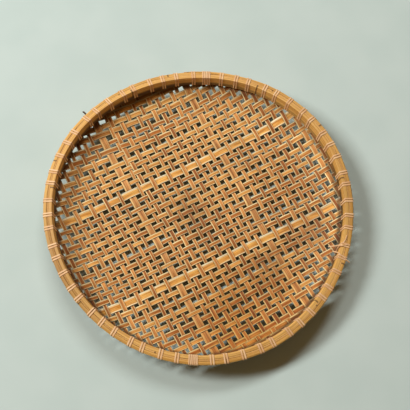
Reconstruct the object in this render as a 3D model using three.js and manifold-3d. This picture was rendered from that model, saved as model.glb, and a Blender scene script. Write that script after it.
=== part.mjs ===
// A large round gathering tray of split bamboo, lying on its back, open side up.
//
// A plain-woven mat is pressed into a shallow dish. Its edge turns up between two bamboo
// hoops, a thin filler strip covers the edge, and split cane laces hoops and mat together,
// two turns at each place. Four wide splints thread over and under the others and make a #.
//
// Millimetres, +Z up, +X along one set of splints and +Y along the other.

import * as THREE from "three";
import { mergeVertices } from "three/addons/utils/BufferGeometryUtils.js";
import Module from "manifold-3d";

const wasm = await Module();
wasm.setup();

// The whole tray.
const trayDiameter = 760; // outside of the rim, before it is bent out of round
const facetCount = 60; // straight steps that make up each turn round the tray
const lobeCount = 3; // the hand-bent rim bulges in three places
const lobeRise = 4.6; // how far each bulge stands out of the true circle
const lobeAngle = 12; // direction of the first bulge, in degrees

// The woven mat.
const matThickness = 3.4; // two splints, one over the other, with a little air
const restRadius = 220; // the mat lies flat on the ground inside this radius
const dishDepth = 30; // how far the mat climbs from there to the foot of the rim
const dishPower = 2.5; // the climb starts gently and ends steep
const dishSteps = 3;

// The splints of the mat.
const plainWidth = 11.3;
const plainPitch = 20.6;
const plainsInside = 11; // plain splints between the two wide ones of a set
const plainsOutside = 11; // plain splints outside each wide one
const wideGap = 9.7; // open gap on each side of a wide splint
const wideWidthX = 20; // the wide splints that run along X
const wideWidthY = 17.5; // the wide splints that run along Y
const wideThickness = 1.5;
const wideEndGap = 6; // a wide splint stops this far inside the foot of the rim

// Openings through the mat, a coarse stand-in for the gaps of the weave. Each takes the place
// of one plain splint of each set, with the gaps beside it. The tray rests on the crossing in
// the middle, which stays.
const openedSplints = [-14, -11, -8, -3, -1, 1, 3, 8, 11, 14]; // numbers from the middle
const openingMargin = 10; // from the corner of an opening to the foot of the rim

// The rim.
const hoopLean = 10; // degrees that the hoops lean outwards
const hoopHeight = 28;
const hoopLift = 4; // open strip of mat under the hoops, where the lacing passes
const outerHoopThickness = 9;
const innerHoopThickness = 9;
const hoopChamfer = 3;
const scarfTip = 0.14; // thickness of a scarfed end at its tip, as a share of the hoop
const outerJointAngle = 60; // middle of the outer hoop's scarf, in degrees
const innerJointAngle = 240;
const scarfFacets = 3; // the two ends of a hoop lap over this many facets
const fillerHeight = 3;

// The lacing.
const strandWidth = 2.4; // square section of the split cane
const turnSpacing = 6.5; // between the two turns of one lashing
const runInset = 4; // the strand runs on under the outer hoop, this far in from its face
const runLead = 4; // and turns inwards this far before the first turn
const lashingPitch = 6; // degrees from one lashing to the next
const lashingWander = 0.7; // degrees that the hand-made spacing wanders
const lashingsPerLength = 5; // lashings made with one length of cane
const strandTail = 8;
const bindingTurns = 5; // turns over each hoop joint
const bindingSpacing = 4.6;

// The odd bits: a broken lashing and a broken splint end.
const brokenLashingAngle = 315;
const brokenEndIn = 24; // loose end that lies inwards over the mat
const brokenEndOut = 9; // loose end that sticks out past the rim
const brokenEndLift = 7; // height of the inner end over the lacing's passes
const brokenEndDrift = 9; // sideways drift of the inner end
const stubAngle = 111;
const stubLength = 26;
const stubWidth = 4;
const stubThickness = 1.4;

// Clearance between neighbouring pieces.
const seatGap = 0.4; // beside the edge of the mat, and round the lacing
const threadGap = 0.3; // round a wide splint where it threads through the mat

const radians = THREE.MathUtils.degToRad;
const facetStep = 360 / facetCount; // corners lie half a step from the lashings
const facetSagitta = (trayDiameter / 2) * (1 - Math.cos(radians(facetStep / 2)));

// Rim section: `out` is measured square to the edge of the mat, `up` along it.
const lean = radians(hoopLean);
const outerSeat = matThickness / 2 + seatGap; // inner face of the outer hoop
const outerFace = outerSeat + outerHoopThickness;
const innerFace = -(outerSeat + innerHoopThickness);
const crown = hoopLift + hoopHeight;
const rimFootRadius =
  trayDiameter / 2 - outerFace * Math.cos(lean) - crown * Math.sin(lean);
const rimFootHeight = matThickness / 2 + dishDepth;

function rimPoint(degrees, out, up, along = 0) {
  const radius = rimFootRadius + out * Math.cos(lean) + up * Math.sin(lean);
  const height = rimFootHeight - out * Math.sin(lean) + up * Math.cos(lean);
  const angle = radians(degrees) + along / radius;
  return new THREE.Vector3(radius * Math.cos(angle), radius * Math.sin(angle), height);
}

// Height of the middle of the mat at a place on the tray.
function matHeight(radius) {
  const climb = Math.max(0, radius - restRadius) / (rimFootRadius - restRadius);
  return matThickness / 2 + dishDepth * climb ** dishPower;
}

// A solid from rings of points, each ring with as many points as the next.
// Without `closed`, the first and last rings get flat ends.
function loft(rings, closed = false) {
  const corners = rings[0].length;
  const points = [];
  const add = (a, b, c) => points.push(...a.toArray(), ...b.toArray(), ...c.toArray());
  const spans = closed ? rings.length : rings.length - 1;
  for (let i = 0; i < spans; i++) {
    const near = rings[i];
    const far = rings[(i + 1) % rings.length];
    for (let k = 0; k < corners; k++) {
      const next = (k + 1) % corners;
      add(near[k], near[next], far[next]);
      add(near[k], far[next], far[k]);
    }
  }
  if (!closed) {
    const first = rings[0];
    const last = rings[rings.length - 1];
    for (let k = 1; k < corners - 1; k++) {
      add(first[0], first[k + 1], first[k]);
      add(last[0], last[k], last[k + 1]);
    }
  }
  const geometry = new THREE.BufferGeometry();
  geometry.setAttribute("position", new THREE.Float32BufferAttribute(points, 3));
  return faceOutwards(mergeVertices(geometry, 1e-4));
}

// Turns the faces round if the solid is inside out.
function faceOutwards(geometry) {
  const place = geometry.getAttribute("position");
  const index = geometry.index.array;
  const corner = [0, 1, 2].map(() => new THREE.Vector3());
  let volume = 0;
  for (let i = 0; i < index.length; i += 3) {
    corner.forEach((c, k) => c.fromBufferAttribute(place, index[i + k]));
    volume += corner[0].dot(corner[1].clone().cross(corner[2]));
  }
  if (volume < 0) {
    for (let i = 0; i < index.length; i += 3) {
      [index[i + 1], index[i + 2]] = [index[i + 2], index[i + 1]];
    }
  }
  return geometry;
}

// Boolean cuts go through manifold solids and back.
function solidOf(geometry) {
  return new wasm.Manifold(
    new wasm.Mesh({
      numProp: 3,
      vertProperties: new Float32Array(geometry.getAttribute("position").array),
      triVerts: new Uint32Array(geometry.index.array),
    }),
  );
}

function geometryOf(solid) {
  const mesh = solid.getMesh();
  const geometry = new THREE.BufferGeometry();
  geometry.setAttribute("position", new THREE.BufferAttribute(mesh.vertProperties, 3));
  geometry.setIndex(new THREE.BufferAttribute(mesh.triVerts, 1));
  return geometry;
}

// The woven mat, before anything is cut out of it: a thin dish with an upturned edge.
function matShell() {
  const middle = []; // middle of the mat, from the centre of the tray to its edge
  for (let i = 0; i <= dishSteps; i++) {
    const radius = restRadius + ((rimFootRadius - restRadius) * i) / dishSteps;
    middle.push(new THREE.Vector2(radius, matHeight(radius)));
  }
  const wall = new THREE.Vector2(Math.sin(lean), Math.cos(lean));
  const edge = crown - fillerHeight - seatGap;
  middle.push(middle[dishSteps].clone().addScaledVector(wall, edge));

  // The two faces lie half a thickness to each side of the middle, with mitred corners.
  const under = [new THREE.Vector2(0, 0)];
  const over = [new THREE.Vector2(0, matThickness)];
  middle.forEach((point, i) => {
    const before = i > 0 ? point.clone().sub(middle[i - 1]).normalize() : new THREE.Vector2(1, 0);
    const after = i <= dishSteps ? middle[i + 1].clone().sub(point).normalize() : before;
    const along = before.clone().add(after);
    const square = new THREE.Vector2(along.y, -along.x);
    square.multiplyScalar(matThickness / 2 / (1 + before.dot(after)));
    under.push(point.clone().add(square));
    over.push(point.clone().sub(square));
  });
  const profile = [...under, ...over.reverse()];
  const start = radians(facetStep / 2);
  const lathe = new THREE.LatheGeometry(profile, facetCount, start).rotateX(Math.PI / 2);
  lathe.deleteAttribute("normal");
  lathe.deleteAttribute("uv");
  return faceOutwards(dropFlatFaces(mergeVertices(lathe, 1e-4)));
}

// A lathe leaves faces without area where its profile touches the axis.
function dropFlatFaces(geometry) {
  const kept = [];
  const index = geometry.index.array;
  for (let i = 0; i < index.length; i += 3) {
    const [a, b, c] = index.slice(i, i + 3);
    if (a !== b && b !== c && c !== a) kept.push(a, b, c);
  }
  geometry.setIndex(kept);
  return geometry;
}

// Where the splints of one set lie: number 0 is in the middle, the wide ones are at
// plus and minus wideNumber.
const wideNumber = (plainsInside + 1) / 2;
const lastNumber = wideNumber + plainsOutside;

function splintWidth(number, wideWidth) {
  return Math.abs(number) === wideNumber ? wideWidth : plainWidth;
}

function splintOffset(number, wideWidth) {
  const count = Math.abs(number);
  if (count < wideNumber) return number * plainPitch;
  const wideOffset = (wideNumber - 1) * plainPitch + (plainWidth + wideWidth) / 2 + wideGap;
  if (count === wideNumber) return Math.sign(number) * wideOffset;
  const nextOffset = wideOffset + (plainWidth + wideWidth) / 2 + wideGap;
  return Math.sign(number) * (nextOffset + (count - wideNumber - 1) * plainPitch);
}

// The openings through the mat, where their corners stay clear of the rim.
function matOpenings() {
  const half = plainPitch - plainWidth / 2;
  const openings = [];
  for (const numberX of openedSplints) {
    for (const numberY of openedSplints) {
      const x = splintOffset(numberY, wideWidthY);
      const y = splintOffset(numberX, wideWidthX);
      const cornerRadius = Math.hypot(Math.abs(x) + half, Math.abs(y) + half);
      if (cornerRadius > rimFootRadius - openingMargin) continue;
      const ring = (height) =>
        [[-1, -1], [1, -1], [1, 1], [-1, 1]].map(
          ([s, t]) => new THREE.Vector3(x + s * half, y + t * half, height),
        );
      openings.push(loft([ring(-matThickness), ring(rimFootHeight + crown)]));
    }
  }
  return openings;
}

// A wide splint, or the room that is cut for it, as a strip that follows the dish.
// Each station gives a place along the splint and its lowest and highest level there,
// counted from the middle of the mat.
function wideStrip(stations, offset, width, alongX) {
  return loft(
    stations.map(({ place, low, high }) => {
      const corner = (side, level) => {
        const across = offset + side * (width / 2);
        const height = matHeight(Math.hypot(place, across)) + level;
        return alongX
          ? new THREE.Vector3(place, across, height)
          : new THREE.Vector3(across, place, height);
      };
      return [corner(-1, low), corner(1, low), corner(1, high), corner(-1, high)];
    }),
  );
}

// The wide splint `number` of one set: its own solid, and the room it takes in the mat.
// It passes over every other crossing splint and under the ones between. In the gaps the
// room swings from the upper side of the mat to the lower side, or back.
function threadWideSplint(number, alongX) {
  const width = alongX ? wideWidthX : wideWidthY;
  const crossingWidth = alongX ? wideWidthY : wideWidthX;
  const offset = splintOffset(number, width);
  const endRadius = rimFootRadius - wideEndGap;
  const reach = Math.sqrt(endRadius ** 2 - (Math.abs(offset) + width / 2) ** 2);
  const roomReach = reach + threadGap;
  const open = 2 * matThickness; // past the face of the mat, so the room opens to that side

  const dip = wideThickness / 3; // the splint already swings away over the edges of a bar
  const strip = [];
  const room = [];
  for (let crossing = -lastNumber; crossing <= lastNumber; crossing++) {
    const middle = splintOffset(crossing, crossingWidth);
    const side = splintWidth(crossing, crossingWidth) / 2;
    if (middle - side <= -reach || middle + side >= reach) continue;
    const over = (number + crossing + (alongX ? 0 : 1)) % 2 === 0;
    const low = over ? threadGap / 2 : -threadGap / 2 - wideThickness;
    const high = low + wideThickness;
    const roomLow = over ? low - threadGap - dip : -open;
    const roomHigh = over ? open : high + threadGap + dip;
    const edges = [middle - side, middle + side];
    const wide = Math.abs(crossing) === wideNumber;
    for (const place of wide ? edges : [middle]) strip.push({ place, low, high });
    for (const place of edges) room.push({ place, low: roomLow, high: roomHigh });
  }
  // Past the outermost crossing the splint runs on level to its end.
  for (const [list, reached] of [[strip, reach], [room, roomReach]]) {
    const first = list[0];
    const last = list[list.length - 1];
    if (first.place > -reached) list.unshift({ ...first, place: -reached });
    if (last.place < reached) list.push({ ...last, place: reached });
  }
  return {
    strip: wideStrip(strip, offset, width, alongX),
    room: wideStrip(room, offset, width + 2 * threadGap, alongX),
  };
}

// A hoop: a bent strip whose two thinned ends lap over each other. `inside` and `outside` are
// its faces. Its top edge away from the mat is rounded off, and the one beside the mat less so.
function hoop(inside, outside, jointAngle) {
  const thickness = outside - inside;
  const outerHoop = inside > 0;
  const tip = scarfTip * thickness;
  const seam = (share) => inside + tip + (thickness - 2 * tip) * share;
  const ring = (degrees, from, to) => {
    const chamfer = Math.min(hoopChamfer, (to - from) / 2);
    const outerChamfer = outerHoop ? chamfer : chamfer / 4;
    const innerChamfer = outerHoop ? chamfer / 4 : chamfer;
    const top = crown - hoopChamfer + chamfer; // a thin tip ends a little lower
    return [
      rimPoint(degrees, from, hoopLift),
      rimPoint(degrees, to, hoopLift),
      rimPoint(degrees, to, top - outerChamfer),
      rimPoint(degrees, to - outerChamfer, top),
      rimPoint(degrees, from + innerChamfer, top),
      rimPoint(degrees, from, top - innerChamfer),
    ];
  };
  const rings = [];
  const lapStart = jointAngle - (scarfFacets * facetStep) / 2;
  for (let i = 0; i <= scarfFacets; i++) {
    const share = i / scarfFacets;
    rings.push(ring(lapStart + i * facetStep, inside, seam(share) - seatGap / 2));
  }
  for (let i = scarfFacets + 1; i < facetCount; i++) {
    rings.push(ring(lapStart + i * facetStep, inside, outside));
  }
  for (let i = 0; i <= scarfFacets; i++) {
    const share = i / scarfFacets;
    rings.push(ring(lapStart + i * facetStep, seam(share) + seatGap / 2, outside));
  }
  return loft(rings);
}

// The thin strip that lies on the edge of the mat, between the hoops.
function fillerStrip() {
  const edge = matThickness / 2;
  const rings = [];
  for (let i = 0; i < facetCount; i++) {
    const degrees = (i + 0.5) * facetStep;
    rings.push([
      rimPoint(degrees, -edge, crown - fillerHeight),
      rimPoint(degrees, edge, crown - fillerHeight),
      rimPoint(degrees, edge, crown),
      rimPoint(degrees, -edge, crown),
    ]);
  }
  return loft(rings, true);
}

// The way a strand of split cane goes round the rim.
const strandSeat = seatGap + strandWidth / 2; // from a hoop to the middle of the strand
const strandOut = outerFace + strandSeat - 0.75 * facetSagitta;
const strandIn = innerFace - strandSeat - facetSagitta;
const strandFoot = hoopLift - strandSeat;
const strandCrown = crown + strandSeat;
const halfStrand = strandWidth / 2;

// The corners of one turn round the rim, as [out, up], from the foot of the inner hoop over
// the crown to the foot of the outer hoop.
const turnCorners = [
  [strandIn, strandFoot],
  [strandIn, strandCrown - hoopChamfer],
  [strandIn + hoopChamfer, strandCrown],
  [strandOut - hoopChamfer, strandCrown],
  [strandOut, strandCrown - hoopChamfer],
  [strandOut, strandFoot],
].map(([out, up]) => new THREE.Vector2(out, up));

// Half a strand's thickness towards the inside of a bend, lengthened for the mitre.
function mitre(before, corner, after) {
  const [arriving, leaving] = [corner.clone().sub(before), after.clone().sub(corner)].map(
    (run) => new THREE.Vector2(run.y, -run.x).normalize(),
  );
  const scale = halfStrand / (1 + arriving.dot(leaving));
  return arriving.add(leaving).multiplyScalar(scale);
}

// Four corners of a strand at a place on the rim. `across` and `inward` are half its width.
// All three are [out, up, along].
function strandRing(degrees, place, across, inward) {
  return [[-1, -1], [1, -1], [1, 1], [-1, 1]].map(([s, t]) => {
    const [out, up, along] = place.map((value, i) => value + s * across[i] + t * inward[i]);
    return rimPoint(degrees, out, up, along);
  });
}

// One lashing of several turns, starting and ending under the outer hoop. Every pass under
// the hoops moves on by one turn, so the turns never cross.
function lashingRings(degrees, turns, spacing) {
  const first = (-(turns - 1) * spacing) / 2;
  const under = strandOut - runInset;
  const turned = [halfStrand, 0, halfStrand]; // a square bend between a run and a pass
  const start = [under, strandFoot, first - runLead];
  const rings = [strandRing(degrees, start, turned, [0, halfStrand, 0])];
  for (let turn = 0; turn < turns; turn++) {
    turnCorners.forEach((corner, i) => {
      const before = turnCorners.at(i - 1);
      const after = turnCorners[(i + 1) % turnCorners.length];
      const inward = mitre(before, corner, after);
      const place = [corner.x, corner.y, first + turn * spacing];
      rings.push(strandRing(degrees, place, [0, 0, halfStrand], [inward.x, inward.y, 0]));
    });
  }
  rings.push(strandRing(degrees, [under, strandFoot, -first], turned, [0, halfStrand, 0]));
  return rings;
}

// A length of cane that makes the lashings at these angles, with a tail at each end.
function lacingRings(angles, turns, spacing) {
  const edge = ((turns - 1) * spacing) / 2;
  const tail = (degrees, along) =>
    strandRing(degrees, [strandOut - runInset, strandFoot, along], [halfStrand, 0, 0], [0, halfStrand, 0]);
  return [
    tail(angles[0], -edge - runLead - strandTail),
    ...angles.flatMap((angle) => lashingRings(angle, turns, spacing)),
    tail(angles.at(-1), edge + strandTail),
  ];
}

// The slot that the passes of one lashing need in the mat.
function lashingSlot(degrees, turns, spacing) {
  const edge = ((turns - 1) * spacing) / 2;
  const margin = strandWidth / 2 + 2 * seatGap;
  const from = -edge - 0.8 * runLead - margin;
  const to = edge - 0.3 * spacing + margin;
  const low = strandFoot - strandWidth / 2 - seatGap;
  const high = hoopLift;
  const deep = 2 * matThickness;
  const ring = (along) => [
    rimPoint(degrees, -deep, low, along),
    rimPoint(degrees, deep, low, along),
    rimPoint(degrees, deep, high, along),
    rimPoint(degrees, -deep, high, along),
  ];
  return loft([ring(from), ring(to)]);
}

// Least free gap between a strand and itself, on points along its middle.
function leastSelfGap(rings) {
  const middles = rings.map((ring) => ring[0].clone().add(ring[2]).multiplyScalar(0.5));
  const points = [];
  let walked = 0;
  for (let i = 0; i < middles.length - 1; i++) {
    const length = middles[i].distanceTo(middles[i + 1]);
    const steps = Math.ceil(length / halfStrand);
    for (let k = 0; k < steps; k++) {
      const point = middles[i].clone().lerp(middles[i + 1], k / steps);
      points.push({ point, walked: walked + (length * k) / steps });
    }
    walked += length;
  }
  const apart = 4 * strandWidth; // nearer along the strand than this, it is the same bend
  let least = Infinity;
  points.forEach((a, i) =>
    points.slice(i + 1).forEach((b) => {
      if (b.walked - a.walked > apart) least = Math.min(least, a.point.distanceTo(b.point));
    }),
  );
  return least - strandWidth;
}

// Where the lashings sit. The two hoop joints take the place of a lashing each.
function lashingAngles(fromAngle, toAngle) {
  const angles = [];
  for (let angle = fromAngle + lashingPitch; angle < toAngle; angle += lashingPitch) {
    angles.push(angle + lashingWander * Math.sin(radians(angle * 37)));
  }
  return angles;
}

const laced = [
  ...lashingAngles(outerJointAngle, innerJointAngle),
  ...lashingAngles(innerJointAngle, outerJointAngle + 360),
];
const lacingLengths = [];
for (const side of [
  laced.filter((angle) => angle < innerJointAngle),
  laced.filter((angle) => angle > innerJointAngle),
]) {
  for (let i = 0; i < side.length; i += lashingsPerLength) {
    lacingLengths.push(side.slice(i, i + lashingsPerLength));
  }
}

// A broken lashing: half a turn over the rim, with one end lying in over the mat and the
// other sticking out past the rim.
function brokenLashingRings() {
  const path = [
    new THREE.Vector2(strandIn - brokenEndIn, strandFoot + brokenEndLift),
    new THREE.Vector2(strandIn, strandFoot + brokenEndLift),
    ...turnCorners.slice(1, -2),
    new THREE.Vector2(strandOut + brokenEndOut, strandCrown - hoopChamfer),
  ];
  return path.map((corner, i) => {
    const before = path[i - 1] ?? corner.clone().multiplyScalar(2).sub(path[i + 1]);
    const after = path[i + 1] ?? corner.clone().multiplyScalar(2).sub(path[i - 1]);
    const inward = mitre(before, corner, after);
    const along = i === 0 ? -brokenEndDrift : 0;
    const place = [corner.x, corner.y, along];
    return strandRing(brokenLashingAngle, place, [0, 0, halfStrand], [inward.x, inward.y, 0]);
  });
}

// A dark broken splint end, caught under the outer hoop below the lacing.
function splintStub() {
  const top = strandFoot - strandWidth / 2 - seatGap;
  const ring = (out, width) => [
    rimPoint(stubAngle, out, top - stubThickness, -width / 2),
    rimPoint(stubAngle, out, top - stubThickness, width / 2),
    rimPoint(stubAngle, out, top, width / 2),
    rimPoint(stubAngle, out, top, -width / 2),
  ];
  const start = outerSeat + seatGap;
  return loft([
    ring(start, stubWidth),
    ring(start + stubLength * 0.7, stubWidth * 0.8),
    ring(start + stubLength, stubWidth * 0.4),
  ]);
}

// Bends the finished tray out of round: a radius grows or shrinks with its direction.
function outOfRound(geometry) {
  const place = geometry.getAttribute("position");
  for (let i = 0; i < place.count; i++) {
    const angle = Math.atan2(place.getY(i), place.getX(i)) - radians(lobeAngle);
    const scale = 1 + (lobeRise / (trayDiameter / 2)) * Math.cos(lobeCount * angle);
    place.setXY(i, place.getX(i) * scale, place.getY(i) * scale);
  }
  return geometry;
}

const bamboo = {
  splints: new THREE.MeshStandardMaterial({ color: 0xb98350, roughness: 0.7, metalness: 0 }),
  wideX: new THREE.MeshStandardMaterial({ color: 0xd49b55, roughness: 0.5, metalness: 0 }),
  wideY: new THREE.MeshStandardMaterial({ color: 0xb87f4a, roughness: 0.6, metalness: 0 }),
  hoop: new THREE.MeshStandardMaterial({ color: 0xcf9653, roughness: 0.5, metalness: 0 }),
  filler: new THREE.MeshStandardMaterial({ color: 0xe0b478, roughness: 0.6, metalness: 0 }),
  cane: new THREE.MeshStandardMaterial({ color: 0xe6b788, roughness: 0.6, metalness: 0 }),
  dark: new THREE.MeshStandardMaterial({ color: 0x2b1d10, roughness: 0.9, metalness: 0 }),
};

const tray = new THREE.Group();

function addPiece(name, geometry, material) {
  const mesh = new THREE.Mesh(outOfRound(geometry), material);
  mesh.name = name;
  tray.add(mesh);
}

let mat = solidOf(matShell());
const wideSplints = {
  wide_splint_x_front: threadWideSplint(-wideNumber, true),
  wide_splint_x_rear: threadWideSplint(wideNumber, true),
  wide_splint_y_left: threadWideSplint(-wideNumber, false),
  wide_splint_y_right: threadWideSplint(wideNumber, false),
};
for (const { room } of Object.values(wideSplints)) mat = mat.subtract(solidOf(room));
for (const opening of matOpenings()) mat = mat.subtract(solidOf(opening));
for (const angle of laced) {
  mat = mat.subtract(solidOf(lashingSlot(angle, 2, turnSpacing)));
}
for (const angle of [outerJointAngle, innerJointAngle]) {
  mat = mat.subtract(solidOf(lashingSlot(angle, bindingTurns, bindingSpacing)));
}

addPiece("woven_mat", geometryOf(mat), bamboo.splints);
for (const [name, { strip }] of Object.entries(wideSplints)) {
  addPiece(name, strip, name.includes("_x_") ? bamboo.wideX : bamboo.wideY);
}
addPiece("outer_hoop", hoop(outerSeat, outerFace, outerJointAngle), bamboo.hoop);
addPiece("inner_hoop", hoop(innerFace, -outerSeat, innerJointAngle), bamboo.hoop);
addPiece("rim_filler_strip", fillerStrip(), bamboo.filler);

let selfGap = Infinity;
function addStrand(name, rings) {
  selfGap = Math.min(selfGap, leastSelfGap(rings));
  addPiece(name, loft(rings), bamboo.cane);
}

lacingLengths.forEach((angles, i) => {
  addStrand(
    "rim_lacing_" + String(i + 1).padStart(2, "0"),
    lacingRings(angles, 2, turnSpacing),
  );
});
addStrand(
  "outer_hoop_joint_binding",
  lacingRings([outerJointAngle], bindingTurns, bindingSpacing),
);
addStrand(
  "inner_hoop_joint_binding",
  lacingRings([innerJointAngle], bindingTurns, bindingSpacing),
);
addStrand("broken_lashing", brokenLashingRings());
addPiece("broken_splint_end", splintStub(), bamboo.dark);
console.log("least gap of a strand to itself: " + selfGap.toFixed(2) + " mm");

// The origin lies under the middle of the outline.
const outline = new THREE.Box3().setFromObject(tray);
const middle = outline.getCenter(new THREE.Vector3());
tray.position.set(-middle.x, -middle.y, 0);

export default tray;
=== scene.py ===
# %% [markdown]
# # A round gathering tray of split bamboo
#
# The real tray is about seventy flat splints of bamboo, woven over one and under one, pressed
# into a shallow dish, clamped between two bent hoops and laced to them with split cane.
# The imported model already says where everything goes, so this script only loads it as a fixed
# frame and dresses it: each plain solid is replaced by splints, hoops and strands with their
# real sections, or gets a better finish. Everything is in metres, +Z up.

# %% The frame and the tools
import random
from dataclasses import dataclass

import bpy
import numpy as np
from mathutils import Matrix, Quaternion, Vector


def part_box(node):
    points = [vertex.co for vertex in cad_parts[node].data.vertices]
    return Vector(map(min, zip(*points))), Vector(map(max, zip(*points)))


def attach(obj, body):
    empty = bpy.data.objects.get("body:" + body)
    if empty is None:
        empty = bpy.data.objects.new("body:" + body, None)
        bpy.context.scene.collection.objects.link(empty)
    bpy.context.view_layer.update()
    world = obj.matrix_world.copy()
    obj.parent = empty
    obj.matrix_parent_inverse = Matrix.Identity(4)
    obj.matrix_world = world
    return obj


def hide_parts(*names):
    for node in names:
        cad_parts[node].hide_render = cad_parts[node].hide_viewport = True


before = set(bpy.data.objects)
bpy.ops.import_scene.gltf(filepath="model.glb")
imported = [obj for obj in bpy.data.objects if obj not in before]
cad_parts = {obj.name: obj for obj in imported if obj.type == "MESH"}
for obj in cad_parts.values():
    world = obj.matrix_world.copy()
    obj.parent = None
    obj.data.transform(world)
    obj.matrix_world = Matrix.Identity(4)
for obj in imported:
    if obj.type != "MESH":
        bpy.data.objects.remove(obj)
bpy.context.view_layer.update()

dice = random.Random(27)
print("solids in the frame:", len(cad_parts))

# %% [markdown]
# ## The sizes that the tray was drawn with
#
# The splints and strands have to lie where the solids lie. Their sizes are written once here
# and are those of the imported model, so a point of the rim or of the mat can be worked out
# again by the same few formulas.

# %% Sizes
TRAY_DIAMETER = 0.760
LOBES, LOBE_RISE, LOBE_ANGLE = 3, 0.0046, np.radians(12)  # the rim is bent out of round

MAT_THICKNESS = 0.0034
REST_RADIUS = 0.220  # flat inside this radius
DISH_DEPTH = 0.030
DISH_POWER = 2.5
FOOT_BEND = 0.005  # the mat turns up the wall of the rim within this far of the foot

PLAIN_WIDTH = 0.0113
PLAIN_WIDTH_X, PLAIN_WIDTH_Y = 0.0115, 0.0099  # as they show; the drawn ones are all alike
PLAIN_PITCH = 0.0206
WIDE_NUMBER, LAST_NUMBER = 6, 17
WIDE_GAP = 0.0097
WIDE_WIDTH_X, WIDE_WIDTH_Y = 0.0200, 0.0175

LEAN = np.radians(10)
HOOP_FOOT, CROWN = 0.004, 0.032
HOOP_CHAMFER = 0.003
HOOP_INSIDE, HOOP_OUTSIDE = 0.0021, 0.0111  # both hoops, counted from the middle of the mat
OUTER_JOINT, INNER_JOINT = 60, 240  # degrees
HOOP_LAP = 18
FILLER_HEIGHT = 0.003

LASHING_PITCH, LASHING_WANDER = 6, 0.7  # degrees
LASHINGS_PER_LENGTH = 5
TURN_SPACING, BINDING_SPACING, BINDING_TURNS = 0.0065, 0.0046, 5

FOOT_RADIUS = TRAY_DIAMETER / 2 - HOOP_OUTSIDE * np.cos(LEAN) - CROWN * np.sin(LEAN)
FOOT_HEIGHT = MAT_THICKNESS / 2 + DISH_DEPTH
print("foot of the rim:", round(FOOT_RADIUS, 4), "m out,", round(FOOT_HEIGHT, 4), "m up")

# %% [markdown]
# ## From the drawing to the place in the model
#
# A tray bent by hand is never quite round. The solids were bent out of round after they were
# drawn and then moved so that their outline is centred. The same two steps are taken here, and
# the move is measured on the outer hoop instead of being copied.

# %% Placing points
def bend_out_of_round(points):
    """The round tray's points, with their radius grown or shrunk by direction."""
    turn = np.arctan2(points[..., 1], points[..., 0]) - LOBE_ANGLE
    scale = 1 + LOBE_RISE / (TRAY_DIAMETER / 2) * np.cos(LOBES * turn)
    return points * np.stack([scale, scale, np.ones_like(scale)], axis=-1)


def rim_point(turn, out, up):
    """A point of the round rim: `turn` in radians, `out` across its wall and `up` along it."""
    radius = FOOT_RADIUS + out * np.cos(LEAN) + up * np.sin(LEAN)
    height = FOOT_HEIGHT - out * np.sin(LEAN) + up * np.cos(LEAN) + 0 * turn
    return np.stack([radius * np.cos(turn), radius * np.sin(turn), height], axis=-1)


# The drawn hoop has a corner half way between one lashing and the next.
hoop_corners = np.radians(np.arange(0, 360, LASHING_PITCH) + LASHING_PITCH / 2)
hoop_outline = bend_out_of_round(rim_point(hoop_corners, HOOP_OUTSIDE, CROWN - HOOP_CHAMFER))
hoop_low, hoop_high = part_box("outer_hoop")
drawn_middle = (hoop_outline.min(axis=0) + hoop_outline.max(axis=0)) / 2
packed_middle = np.array((hoop_low + hoop_high) / 2)
SHIFT = np.array([*(packed_middle - drawn_middle)[:2], 0])


def in_place(points):
    """Points of the round tray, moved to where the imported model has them."""
    return bend_out_of_round(np.asarray(points, float)) + SHIFT


print("the outline was centred by", np.round(SHIFT * 1000, 2), "mm")

# %% [markdown]
# ## The camera
#
# The photograph looks at the open side almost square on, about twenty degrees off, with one set
# of splints running 27 degrees up to the right. In the frame of the tray that is a camera high
# over its front, turned to the left and rolled a little. It aims a little past the middle of
# the rim, because the tray stands a little left of the middle of the picture.

# %% Camera
VIEW_TURN, VIEW_TILT, VIEW_ROLL = np.radians(32.8), np.radians(20.1), np.radians(5.5)
CAMERA_DISTANCE = 2.0
CAMERA_LENS, SENSOR_WIDTH = 71.95, 36
AIM_RIGHT, AIM_UP = 0.0117, 0.0045

towards_camera = Vector(
    (
        -np.sin(VIEW_TILT) * np.sin(VIEW_TURN),
        -np.sin(VIEW_TILT) * np.cos(VIEW_TURN),
        np.cos(VIEW_TILT),
    )
)
level_right = Vector((np.cos(VIEW_TURN), -np.sin(VIEW_TURN), 0))
picture_right = Quaternion(towards_camera, VIEW_ROLL) @ level_right
picture_up = towards_camera.cross(picture_right)
rim_middle = Vector((SHIFT[0], SHIFT[1], FOOT_HEIGHT + CROWN * np.cos(LEAN)))
aim = rim_middle + AIM_RIGHT * picture_right + AIM_UP * picture_up

camera = bpy.data.objects.new("camera", bpy.data.cameras.new("camera"))
camera.location = aim + CAMERA_DISTANCE * towards_camera
camera_axes = Matrix((picture_right, picture_up, towards_camera)).transposed()
camera.rotation_euler = camera_axes.to_euler()
camera.data.lens = CAMERA_LENS
camera.data.sensor_width = SENSOR_WIDTH
bpy.context.scene.collection.objects.link(camera)
bpy.context.scene.camera = camera
print("camera at", [round(v, 3) for v in camera.location])

# %% [markdown]
# ## Writing finishes as sums
#
# A finish is a small calculation done at every point of a surface: where on the splint am I,
# how deep is the grain here, is this an edge? Blender draws such a calculation as nodes and
# wires. It could be wired up node by node, but then the sum is hard to read, so `Value` wraps
# an output and lets Python's own + - * / add the Math nodes. `Finish.add` makes every other
# node: first its settings, then what goes into its sockets.

# %% Finishes
def colour(red, green, blue):
    """A screen colour, 0 to 255, as the linear colour that a shader works with."""
    screen = np.array([red, green, blue]) / 255
    linear = np.where(screen <= 0.04045, screen / 12.92, ((screen + 0.055) / 1.055) ** 2.4)
    return (*linear.tolist(), 1.0)


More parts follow.
